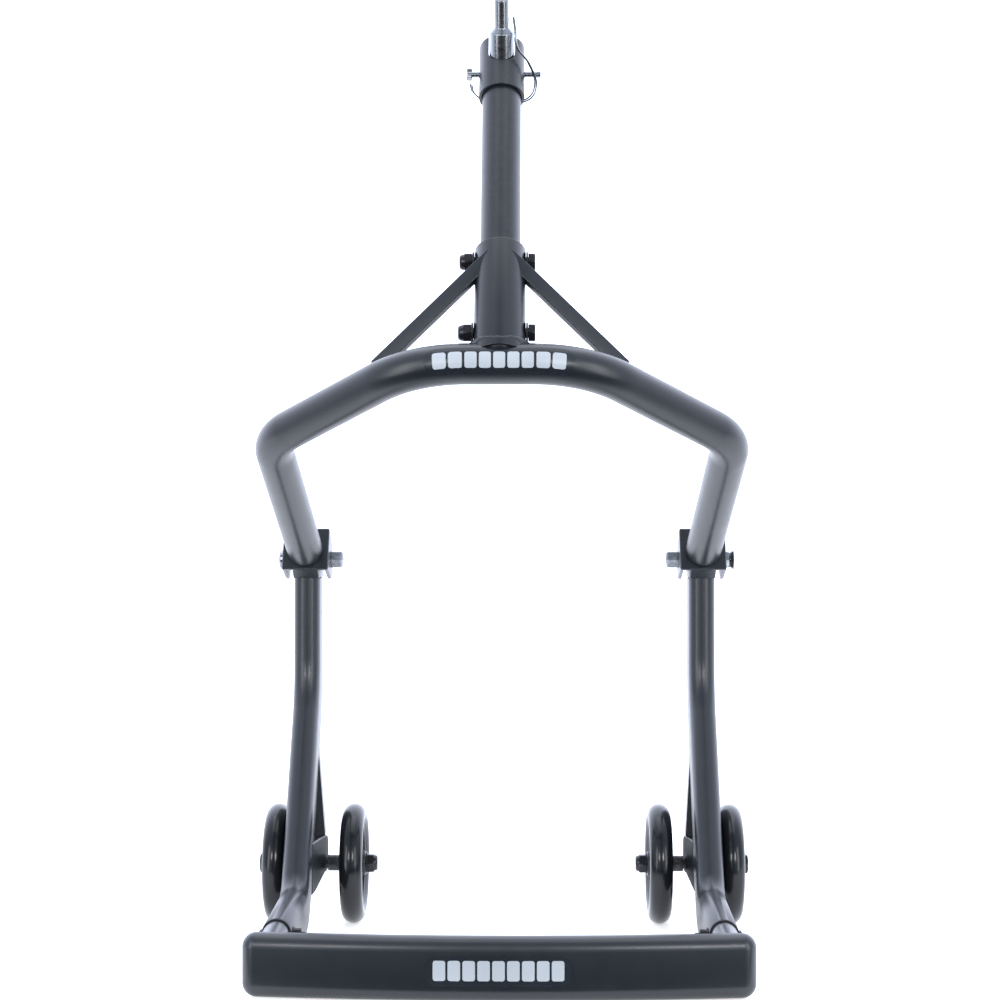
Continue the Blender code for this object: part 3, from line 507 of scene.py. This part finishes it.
def tyre_mesh(centre):
    """Tyre with a round tread on a flat foot."""
    profile = [(-8.6, 46.0)]
    for degrees in range(-96, 97, 6):
        turn = math.radians(degrees)
        profile.append((12 * math.sin(turn), 51.5 + 11 * math.cos(turn)))
    profile.append((8.6, 46.0))
    return turned(centre, X, profile, 128, closed=True)


def core_mesh(centre):
    """Rim, hub and five waisted spokes."""
    rim = [(-8.0, 41.4), (-8.8, 42.6), (-8.6, 45.7), (8.6, 45.7), (8.8, 42.6), (8.0, 41.4),
           (2.5, 40.8), (-2.5, 40.8)]
    hub = [(-12.5, 6.3), (-12.5, 11.8), (-11.9, 12.6), (-9.5, 13.0), (9.5, 13.0), (11.9, 12.6),
           (12.5, 11.8), (12.5, 6.3)]
    meshes = [turned(centre, X, rim, 96, closed=True), turned(centre, X, hub, 64, closed=True)]
    for k in range(5):
        turn = 2 * math.pi * k / 5
        out = Vector((0, math.sin(turn), math.cos(turn)))
        across = Vector((0, math.cos(turn), -math.sin(turn)))
        rings = []
        for reach, wide, thick in ((11, 7.0, 6.4), (15, 5.2, 5.8), (22, 4.0, 5.4), (31, 3.8, 5.2),
                                   (37, 5.0, 5.6), (41.5, 7.5, 6.4)):
            ring = []
            for a, b in circle(1.0, 20):
                flat = [math.copysign(abs(v) ** 0.55, v) for v in (a, b)]
                aside = across * (flat[0] * wide) + X * (flat[1] * thick)
                ring.append(centre + out * reach + aside)
            rings.append(ring)
        meshes.append(loft(rings))
    return joined(meshes)


for side_name, side_sign in SIDES:
    for spot, wheel_x in zip(("inner", "outer"), WHEEL_X[side_sign]):
        wheel_name = f"{side_name}_{spot}_wheel"
        wheel_at = Vector((side_sign * wheel_x, 0, AXLE_Z))
        add(f"{wheel_name}_tyre_skin", tyre_mesh(wheel_at), f"{wheel_name}_tyre")
        add(f"{wheel_name}_core_skin", core_mesh(wheel_at), f"{wheel_name}_core")

# ---- arch, sleeve, post and head --------------------------------------------------------------

def arch_path(steps=26):
    """Centreline of the arch tube from its left foot to its right."""
    left = [(-212.5, 36.2), (-223.5, 279), (-ARCH_SHOULDER[0], ARCH_SHOULDER[1])]
    right = [(-x, along) for x, along in reversed(left)]
    corners = [arch_point(x, along) for x, along in left + right]
    return rounded_path(corners, (65, 120, 120, 65), steps)


arch_rings = rings_on(arch_path(), circle(ARCH_RADIUS), UP_ARCH.cross(X))
add("arch_tube_skin", loft(arch_rings), "arch_tube")

sleeve_profile = [(6.5, 22.0), (6.5, 24.0), (126.0, 24.0), (126.0, 19.6), (100.0, 19.6)]
sleeve_mesh = turned(ARCH_MID, UP_POST, rounded(sleeve_profile, 0.9), 96)
add("post_sleeve_skin", sleeve_mesh, "post_sleeve")


def arc(centre, radius, start, steps):
    """Half a circle about (0, centre), from the angle start."""
    turns = [start + math.pi * k / steps for k in range(steps + 1)]
    return [(radius * math.cos(turn), centre + radius * math.sin(turn)) for turn in turns]


# The post slides on two slots, one round each clamp bolt.
post_profile = [(21, POST_RADIUS), (321, POST_RADIUS), (321, 16.4), (21, 16.4)]
post_mesh = turned(ARCH_MID, UP_POST, post_profile, 96, closed=True)
post = add("lift_post_skin", post_mesh, "lift_post")
for height in CLAMPS.values():
    outline = arc(height, SLOT_RADIUS, 0, 24) + arc(height - POST_TRAVEL, SLOT_RADIUS, math.pi, 24)
    cut(post, loft([[post_point(x, a, h) for a, h in outline] for x in (-40, 40)]))

# The socket is notched in front for the stem pin and bored across for the lock pin.
socket_profile = [(330, 19.3), (312, 19.3), (312, 22.5), (375, 22.5), (375, 19.3), (330, 19.3)]
socket_mesh = turned(
    ARCH_MID, UP_POST, rounded(socket_profile, 0.8)[1:-1], 96, closed=True)
socket = add("head_socket_skin", socket_mesh, "head_socket")
notch = arc(NOTCH_CENTRE, NOTCH_HALF, math.pi, 40) + [(NOTCH_HALF, 400), (-NOTCH_HALF, 400)]
cut(socket, loft([[post_point(x, ahead, h) for x, h in notch] for ahead in (5, 40)]))
cut(socket, turned(post_point(-40, 0, CROSS_PIN_HEIGHT), X, [(0, 3.3), (80, 3.3)], 32))
soften(socket, 0.5)

UP_PIN = Vector((0, -math.sin(TILT), math.cos(TILT)))
pin_profile = [(-13.0, 0.5), (-13.0, 8.5), (-10.0, 11.2), (-6.0, 12.0), (41.0, 12.0), (42.2, 11.2),
               (46.2, 7.25), (72.8, 7.25), (74.1, 6.05), (74.1, 0.5)]
add("stem_pin_skin", turned(HEAD, UP_PIN, rounded(pin_profile, 0.7), 72), "stem_pin")


def lock_pin_mesh():
    """Round pin with a bow-tie head: two wings on a waisted plate."""
    profile = [(-34.4, 0.5), (-34.4, 3.0), (35.0, 3.0), (35.5, 3.4), (38.0, 3.4), (38.5, 2.8),
               (38.5, 0.5)]
    meshes = [turned(HEAD, X, rounded(profile, 0.3), 32)]
    rings = []
    for reach, tall, deep in ((-5.75, 2.4, 2.5), (-5.4, 2.7, 2.8), (-3.4, 2.5, 2.7),
                              (-1.4, 1.7, 2.4), (0, 1.5, 2.3), (1.4, 1.7, 2.4), (3.4, 2.5, 2.7),
                              (5.4, 2.7, 2.8), (5.75, 2.4, 2.5)):
        ring = []
        for a, b in circle(1.0, 24):
            flat = [math.copysign(abs(v) ** 0.5, v) for v in (a, b)]
            middle = HEAD + X * -32.2 + UP_POST * reach
            ring.append(middle + AHEAD * (flat[0] * tall) + X * (flat[1] * deep))
        rings.append(ring)
    meshes.append(loft(rings))
    return joined(meshes)


add("lock_pin_skin", lock_pin_mesh(), "lock_pin")


def spline(knots, steps):
    """A smooth course through the knots."""
    first, last = knots[0] * 2 - knots[1], knots[-1] * 2 - knots[-2]
    held = [first] + knots + [last]
    course = []
    for before, start, end, after in zip(held, held[1:], held[2:], held[3:]):
        for k in range(steps):
            t = k / steps
            bend = (end - before) * t + (before * 2 - start * 5 + end * 4 - after) * t**2
            bend += (start * 3 - before - end * 3 + after) * t**3
            course.append(start + bend / 2)
    return course + [knots[-1]]


def build_wire():
    """Hairpin spring wire from the pin's head round the back to the front."""
    knots = [(-31.5, -4.6, -7.6), (-28, -14, -11.5), (-10, -28, -14), (24, -22, -12.5),
             (32.6, -4, -6.5), (25.5, 14, 4), (14.4, 28, 11.5), (12.8, 37.5, 24), (11.4, 41.5, 37)]
    near = spline([HEAD + X * x + AHEAD * a + UP_POST * h for x, a, h in knots], 10)
    far = []
    for k, point in enumerate(near):
        closing = max(0.0, k - (len(near) - 21)) / 20
        wide = 2.2 * (1 - 0.6 * closing)
        far.append(point - UP_POST * (wide * 0.8) + X * wide * 0.75)
    tip = (near[-1] + far[-1]) / 2 + UP_POST * 1.3
    path = near + [tip] + far[::-1]
    rings = []
    side = UP_POST
    for k, along in enumerate(directions(path)):
        side = (side - along * side.dot(along)).normalized()
        second = along.cross(side)
        rings.append([path[k] + side * a + second * b for a, b in circle(0.85, 12)])
    add("lock_wire_skin", loft(rings), "lock_wire")


build_wire()

# ---- bolts and nuts ---------------------------------------------------------------------------

def hardware(name, meshes, node_name):
    add(name, joined(meshes), node_name, sharp=30)


for spot, height in CLAMPS.items():
    right, left = post_point(24.3, 0, height), post_point(-24.3, 0, height)
    head_at = right + X * 2.1
    hardware(f"{spot}_clamp_bolt_skin", [
        hexagon(head_at, X, 6.4, CLAMP_RADIUS),
        turned(head_at, -X, [(0, 4.9), (61, 4.9), (64.2, 4.0)], 32),
    ], f"{spot}_clamp_bolt")
    hardware(f"{spot}_clamp_nut_skin", [
        hexagon(left - X * 2.1, -X, 7.4, CLAMP_RADIUS),
        turned(left - X * 9.4, -X,
               rounded([(0, 7.6), (2.6, 7.2), (4.6, 5.6), (4.6, 5.2)], 0.8), 48),
    ], f"{spot}_clamp_nut")

for side_name, side_sign in SIDES:
    inner_x, outer_x = WHEEL_X[side_sign]
    outwards = X * side_sign
    head_at = Vector((side_sign * (outer_x + HUB_END), 0, AXLE_Z))
    reach = outer_x - inner_x + 25.6 + 11.5
    hardware(f"{side_name}_axle_bolt_skin", [
        hexagon(head_at, outwards, 6.4, AXLE_BOLT_RADIUS),
        turned(head_at, -outwards, [(0, 5.9), (reach - 1, 5.9), (reach, 5.0)], 40),
    ], f"{side_name}_axle_bolt")
    nut_at = Vector((side_sign * (inner_x - HUB_END), 0, AXLE_Z))
    hardware(f"{side_name}_axle_nut_skin", [
        turned(nut_at, -outwards, rounded([(0, 6.3), (0, 10.8), (1.4, 10.8), (1.4, 6.3)], 0.4), 48,
               closed=True),
        hexagon(nut_at - outwards * 1.3, -outwards, 7.2, AXLE_NUT_RADIUS),
        turned(nut_at - outwards * 8.4, -outwards,
               rounded([(0, 8.4), (2.4, 8.0), (3.5, 6.6), (3.5, 6.2)], 0.8), 48),
    ], f"{side_name}_axle_nut")

# ---- welds ------------------------------------------------------------------------------------

def sleeve_fillet():
    """Fillet round the foot of the sleeve, from its wall down to the arch, with a faint ripple."""
    rings = []
    for k in range(120):
        turn = 2 * math.pi * k / 120
        across, ahead = math.cos(turn), math.sin(turn)
        ripple = 0.22 * math.sin(k * 1.26) + 0.5 * noise.noise(Vector((across, ahead, 0.3)) * 4)
        top = 23.6 - 9.0 * ahead * ahead + ripple
        low_ahead = 18.75 * ahead
        toe = math.sqrt(19.05 ** 2 - low_ahead ** 2)
        wide = 29.5 + ripple
        rings.append([
            post_point(22.0 * across, 15.0 * ahead, 12.0),
            post_point(24.0 * across, 24.0 * ahead, top),
            post_point(24.7 * across, 24.5 * ahead, top - 0.8),
            post_point(26.0 * across, 23.3 * ahead, top * 0.55 + toe * 0.45),
            post_point((wide - 1.6) * across, 20.9 * ahead, toe + 1.3),
            post_point(wide * across, low_ahead, toe),
        ])
    return loft(rings, closed=True)


add("sleeve_weld", sleeve_fillet(), body="arch", sharp=60)


def gusset_mesh(sign):
    """Flat bar lying across the front of the sleeve, its top end cut upright."""
    high_end, low_end = post_point(sign * 8, 17.0, 108), post_point(sign * 122, -40, 14.8)
    along = (low_end - high_end).normalized()
    wide = along.cross(AHEAD).normalized()
    deep = wide.cross(along).normalized()
    deep = deep if deep.dot(AHEAD) > 0 else -deep
    corner = [(math.copysign(6.1, a) + 0.9 * math.cos(t), math.copysign(3.1, b) + 0.9 * math.sin(t))
              for a, b, start in ((1, 1, 0), (-1, 1, 1), (-1, -1, 2), (1, -1, 3))
              for t in [math.pi / 2 * (start + j / 4) for j in range(5)]]
    rings = []
    for stop in (11.2, 11.9, 60.0, 120.0):
        shrink = 0.93 if stop == 11.2 else 1.0
        ring = []
        for a, b in corner:
            point = high_end + wide * (a * shrink) + deep * (b * shrink)
            ring.append(point + along * ((stop - abs(point.x)) / abs(along.x)))
        rings.append(ring)
    return loft(rings), high_end, along, wide, deep


for side_name, side_sign in SIDES:
    gusset, top_at, way, wide_way, deep_way = gusset_mesh(side_sign)
    add(f"{side_name}_gusset_skin", gusset, f"{side_name}_gusset")
    corners = []
    for a in (-7, 0, 7):
        point = top_at + wide_way * a + deep_way * 2.2
        corners.append(point + way * ((11.4 - abs(point.x)) / abs(way.x)))
    add(f"{side_name}_gusset_end_weld", bead(corners, 1.5), body="arch")
    lower = 1 if (top_at + wide_way * 7).z < (top_at - wide_way * 7).z else -1
    toes = []
    for reach in (13.0, 17.0, 21.5):
        point = top_at + wide_way * (7.2 * lower) + deep_way * 1.0
        toes.append(point + way * ((reach - abs(point.x)) / abs(way.x)))
    add(f"{side_name}_gusset_toe_weld", bead(toes, 1.8), body="arch")

# ---- name plates ------------------------------------------------------------------------------

def plate(spot, low_u, high_u, half, corner, lift, thick, steps=60, rows=9):
    """A film with rounded corners: spot(u, v, lift) gives the point over a curved face."""
    rings = []
    for k in range(steps + 1):
        u = low_u + (high_u - low_u) * (1 - math.cos(math.pi * k / steps)) / 2
        near = min(u - low_u, high_u - u)
        inside = max(0.0, corner - near)
        tall = half - corner + math.sqrt(max(corner ** 2 - inside ** 2, 0.02))
        rows_up = [tall * (2 * j / rows - 1) for j in range(rows + 1)]
        top = [spot(u, v, lift + thick) for v in rows_up]
        base = [spot(u, v, lift) for v in reversed(rows_up)]
        rings.append(top + base)
    return loft(rings)


def along_path(path):
    """A function from distance along the path, measured from its middle, to (point, direction)."""
    lengths = [0.0]
    for one, other in zip(path, path[1:]):
        lengths.append(lengths[-1] + (other - one).length)
    middle = lengths[-1] / 2

    def at_length(u):
        want = u + middle
        k = max(j for j, length in enumerate(lengths[:-1]) if length <= max(want, 0))
        share = (want - lengths[k]) / (lengths[k + 1] - lengths[k])
        return path[k].lerp(path[k + 1], share), (path[k + 1] - path[k]).normalized()
    return at_length


handle_at = along_path(handle_path(100))
arch_at = along_path(arch_path(40))
DECAL_LEAN, PLATE_BLOCKS = math.radians(9), 9


def on_handle(u, v, lift):
    """A point over the front of the handle bar."""
    point, along = handle_at(u)
    out = Vector((along.y, -along.x, 0))
    return point + out * (HANDLE_THICK / 2 + lift) + Z * v



def on_arch(u, v, lift):
    """A point over the front of the arch tube, DECAL_LEAN above level."""
    point, along = arch_at(u)
    facing = Vector((0, -math.cos(DECAL_LEAN), math.sin(DECAL_LEAN)))
    facing = (facing - along * facing.dot(along)).normalized()
    upright = facing.cross(along).normalized()
    upright = upright if upright.z > 0 else -upright
    turn = v / ARCH_RADIUS
    out = facing * math.cos(turn) + upright * math.sin(turn)
    return point + out * (ARCH_RADIUS + lift)


def build_plate(node, spot, half_length, half_height, body):
    """Dark film with a plain band of equal blocks on it."""
    film = plate(spot, -half_length, half_length, half_height, half_height * 0.8, 0.1, 0.35)
    add(f"{node}_surround", film, body=body, look=PLATE_DARK)
    blocks = []
    pitch = (2 * half_length - 12) / PLATE_BLOCKS
    for k in range(PLATE_BLOCKS):
        middle = (k - (PLATE_BLOCKS - 1) / 2) * pitch
        reach = pitch / 2 - 1.0
        blocks.append(
            plate(spot, middle - reach, middle + reach, half_height - 5.0, 2.2, 0.4, 0.2, 14, 4))
    add(f"{node}_skin", joined(blocks), node)


build_plate("handle_decal", on_handle, 65, 14.0, "frame")
build_plate("arch_decal", on_arch, 64, 12.5, "arch")

# ---- floor, light and camera ------------------------------------------------------------------

# The floor starts just in front of the handle, in metres.
FLOOR_HALF, FLOOR_FRONT, FLOOR_BACK = 1.7, -0.245, 1.9
floor_mesh = bmesh.new()
floor_mesh.faces.new([floor_mesh.verts.new((x, y, 0)) for x, y in (
    (-FLOOR_HALF, FLOOR_FRONT), (FLOOR_HALF, FLOOR_FRONT),
    (FLOOR_HALF, FLOOR_BACK), (-FLOOR_HALF, FLOOR_BACK))])
floor_data = bpy.data.meshes.new("floor")
floor_mesh.to_mesh(floor_data)
floor_mesh.free()
floor = bpy.data.objects.new("floor", floor_data)
floor.location.z = -0.0004
bpy.context.scene.collection.objects.link(floor)
paper, paper_tree, paper_shader = nodes_of("floor_paper")
paper_tone = ramp(paper_tree, noise_of(paper_tree, 3, 3), 0, 0.55, 1, 0.65)
paper_tree.links.new(paper_tone, paper_shader.inputs["Roughness"])
paper_shader.inputs["Base Color"].default_value = (0.93, 0.93, 0.94, 1)
paper_shader.inputs["Specular IOR Level"].default_value = 0.1
paper_shader.inputs["Emission Color"].default_value = (1, 1, 1, 1)
paper_shader.inputs["Emission Strength"].default_value = 0.55
floor_data.materials.append(paper)


def soft_light(name, position, target, width, height, power):
    """An area light turned to its target."""
    data = bpy.data.lights.new(name, "AREA")
    data.shape = "RECTANGLE"
    data.size, data.size_y, data.energy = width, height, power
    light = bpy.data.objects.new(name, data)
    light.location = position
    light.rotation_euler = (Vector(target) - Vector(position)).to_track_quat("-Z", "Y").to_euler()
    bpy.context.scene.collection.objects.link(light)


soft_light("light_left", (-1.9, -1.75, 0.75), (0, -0.1, 0.4), 0.7, 1.9, 16)
soft_light("light_right", (1.9, -1.75, 0.75), (0, -0.1, 0.4), 0.7, 1.9, 16)
soft_light("light_left_high", (-0.8, -2.2, 1.0), (0, -0.1, 0.3), 0.45, 0.5, 9)
soft_light("light_right_high", (0.8, -2.2, 1.0), (0, -0.1, 0.3), 0.45, 0.5, 12)
soft_light("light_top", (0, 0.2, 3.2), (0, 0, 0), 2.4, 2.4, 20)

# The studio is pale behind the stand. In front of it, it is dark below the floor and dimmer in a
# narrow band in the middle.
world = bpy.data.worlds.new("studio")
world.use_nodes = True
bpy.context.scene.world = world
wt = world.node_tree
background = wt.nodes["Background"]
coord = wt.nodes.new("ShaderNodeTexCoord")
split = wt.nodes.new("ShaderNodeSeparateXYZ")
wt.links.new(coord.outputs["Generated"], split.inputs["Vector"])
from_middle = wt.nodes.new("ShaderNodeMath")
from_middle.operation = "ABSOLUTE"
wt.links.new(split.outputs["X"], from_middle.inputs[0])
middle_band = ramp(wt, from_middle.outputs["Value"], 0.06, 0.35, 0.30, 1.0)
above_floor = ramp(wt, split.outputs["Z"], -0.20, 0.0, -0.06, 1.0)
both = wt.nodes.new("ShaderNodeMath")
both.operation = "MULTIPLY"
wt.links.new(middle_band, both.inputs[0])
wt.links.new(above_floor, both.inputs[1])
ahead_tone = mix_colour(wt, both.outputs["Value"], (0.03, 0.035, 0.045), (0.70, 0.79, 0.94))
shade = mix_colour(
    wt, ramp(wt, split.outputs["Y"], -0.45, 0.0, 0.0, 1.0), ahead_tone, (1.0, 1.07, 1.28))
wt.links.new(shade, background.inputs["Color"])
strength = ramp(wt, split.outputs["Y"], 0.0, 1.03, 0.6, 2.3)
wt.links.new(strength, background.inputs["Strength"])
bpy.context.scene.view_settings.view_transform = "Standard"

camera_data = bpy.data.cameras.new("camera")
camera_data.lens, camera_data.sensor_width = 79.5, 36
camera = bpy.data.objects.new("camera", camera_data)
camera.location = place(Vector((29, -2330, 451)))
camera.rotation_euler = Vector((-0.01414, 1.0, -0.00227)).to_track_quat("-Z", "Y").to_euler()
bpy.context.scene.collection.objects.link(camera)
bpy.context.scene.camera = camera
